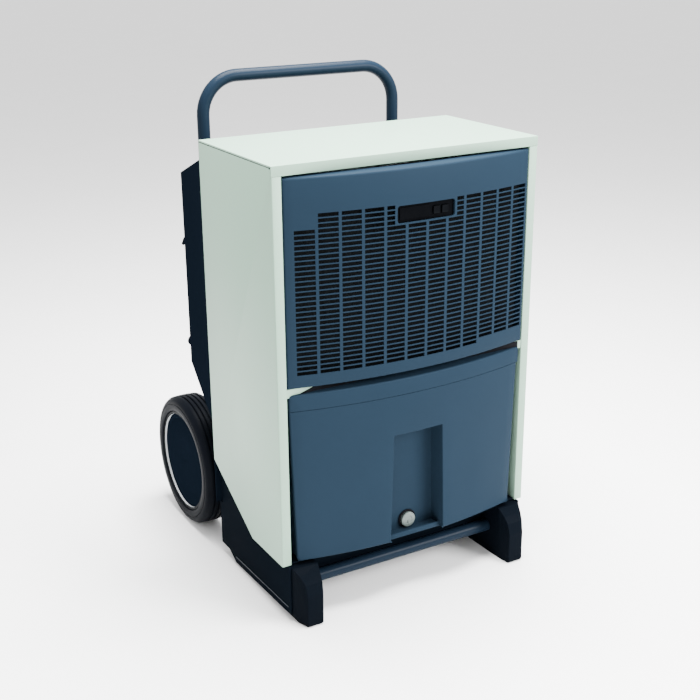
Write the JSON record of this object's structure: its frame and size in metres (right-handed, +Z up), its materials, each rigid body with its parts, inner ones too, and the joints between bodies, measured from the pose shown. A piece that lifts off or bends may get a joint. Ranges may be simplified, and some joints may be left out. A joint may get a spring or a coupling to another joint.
{
  "type": "portable dehumidifier",
  "caption": "Portable commercial dehumidifier: sheet-metal cabinet on two wheels and two feet, pull-out water tank, slotted front grille and a sliding tube handle.",
  "frame": {"origin": "middle of the footprint on the floor", "axes": "+Z up, -Y out of the front with the tank and the grille, +X to the right of someone who faces the front"},
  "size_m": [0.496, 0.588, 0.862],
  "materials": {
    "cabinet_white": "fine textured pale grey-green powder coat",
    "frame_black": "satin black powder coat",
    "plastic_black": "grained moulding",
    "tyre_rubber": "matt solid rubber",
    "rim_plastic": "satin moulding",
    "hubcap_plastic": "satin moulding",
    "steel_plated": "zinc plated",
    "key_black": "satin moulding",
    "galvanised": "galvanised sheet",
    "handle_blue": "satin blue powder coat",
    "front_blue": "grained slate blue moulding",
    "filter_foam": "open-cell filter mat",
    "display_gloss": "gloss black",
    "board_green": "lacquered circuit board",
    "plug_grey": "light grey moulding",
    "float_white": "foamed plastic",
    "coil_aluminium": "mill finish fins",
    "compressor_black": "gloss black enamel",
    "mount_rubber": "moulded rubber",
    "copper_pipe": "drawn copper tube",
    "moulded_dark": "dark moulding"
  },
  "bodies": {
    "machine": {"side_panel_left": "cabinet_white", "frame_side_left": "frame_black", "axle_bracket_left": "frame_black", "foot_left": "plastic_black", "handle_sleeve_left": "plastic_black", "axle_collar_left": "steel_plated", "side_panel_right": "cabinet_white", "frame_side_right": "frame_black", "axle_bracket_right": "frame_black", "foot_right": "plastic_black", "handle_sleeve_right": "plastic_black", "axle_collar_right": "steel_plated", "top_cover": "cabinet_white", "cross_rail": "cabinet_white", "fan_shroud": "galvanised", "motor_bracket": "galvanised", "partition": "galvanised", "base_pan": "frame_black", "cord_hook": "frame_black", "cross_tube": "handle_blue", "axle": "steel_plated", "rear_casing": "plastic_black", "outlet_grille": "plastic_black", "cord_peg": "plastic_black", "cable_gland": "key_black", "tank_switch": "key_black", "evaporator": "coil_aluminium", "condenser": "coil_aluminium", "fan_motor": "coil_aluminium", "compressor": "compressor_black", "accumulator": "compressor_black", "compressor_grommet_1": "mount_rubber", "compressor_grommet_2": "mount_rubber", "compressor_grommet_3": "mount_rubber", "discharge_pipe": "copper_pipe", "suction_pipe": "copper_pipe", "liquid_pipe": "copper_pipe", "drip_tray": "moulded_dark", "electrical_box": "moulded_dark"},
    "front": {"front_grille": "front_blue", "air_filter": "filter_foam", "control_fascia": "display_gloss", "display_lens": "display_gloss", "control_board": "board_green"},
    "power_button": {"power_button": "key_black"},
    "mode_button": {"mode_button": "key_black"},
    "tank": {"tank": "front_blue"},
    "drain_plug": {"drain_plug": "plug_grey"},
    "tank_float": {"tank_float": "float_white"},
    "fan": {"fan_rotor": "moulded_dark"},
    "handle": {"handle": "handle_blue"},
    "knob_left": {"clamp_knob_left": "key_black"},
    "knob_right": {"clamp_knob_right": "key_black"},
    "wheel_left": {"tyre_left": "tyre_rubber", "rim_left": "rim_plastic", "hubcap_left": "hubcap_plastic"},
    "wheel_right": {"tyre_right": "tyre_rubber", "rim_right": "rim_plastic", "hubcap_right": "hubcap_plastic"}
  },
  "joints": [
    {"name": "wheel_left_spin", "type": "hinge", "parent": "machine", "child": "wheel_left", "pos_m": [-0.217, 0.169, 0.125], "axis": [1, 0, 0], "continuous": true},
    {"name": "wheel_right_spin", "type": "hinge", "parent": "machine", "child": "wheel_right", "pos_m": [0.217, 0.169, 0.125], "axis": [1, 0, 0], "continuous": true},
    {"name": "handle_slide", "type": "slide", "parent": "machine", "child": "handle", "axis": [0, 0, 1], "range_m": [0, 0.25]},
    {"name": "knob_left_turn", "type": "hinge", "parent": "machine", "child": "knob_left", "pos_m": [-0.191, 0.135, 0.64], "axis": [0, 1, 0], "range_deg": [0, 180]},
    {"name": "knob_right_turn", "type": "hinge", "parent": "machine", "child": "knob_right", "pos_m": [0.191, 0.135, 0.64], "axis": [0, 1, 0], "range_deg": [0, 180]},
    {"name": "tank_pull", "type": "slide", "parent": "machine", "child": "tank", "axis": [0, -1, 0], "range_m": [0, 0.28]},
    {"name": "drain_plug_turn", "type": "hinge", "parent": "tank", "child": "drain_plug", "pos_m": [-0.002, -0.25, 0.1265], "axis": [0, -1, 0], "range_deg": [0, 180]},
    {"name": "float_lift", "type": "hinge", "parent": "tank", "child": "tank_float", "pos_m": [-0.13, -0.121, 0.37], "axis": [-1, 0, 0], "range_deg": [0, 25]},
    {"name": "fan_spin", "type": "hinge", "parent": "machine", "child": "fan", "pos_m": [0, -0.056, 0.58], "axis": [0, 1, 0], "continuous": true},
    {"name": "front_pull", "type": "slide", "parent": "machine", "child": "front", "axis": [0, -1, 0], "range_m": [0, 0.12]},
    {"name": "power_press", "type": "slide", "parent": "front", "child": "power_button", "axis": [0, 1, 0], "range_m": [0, 0.002], "stiffness_N_per_m": 600, "springref_m": -0.001},
    {"name": "mode_press", "type": "slide", "parent": "front", "child": "mode_button", "axis": [0, 1, 0], "range_m": [0, 0.002], "stiffness_N_per_m": 600, "springref_m": -0.001}
  ]
}
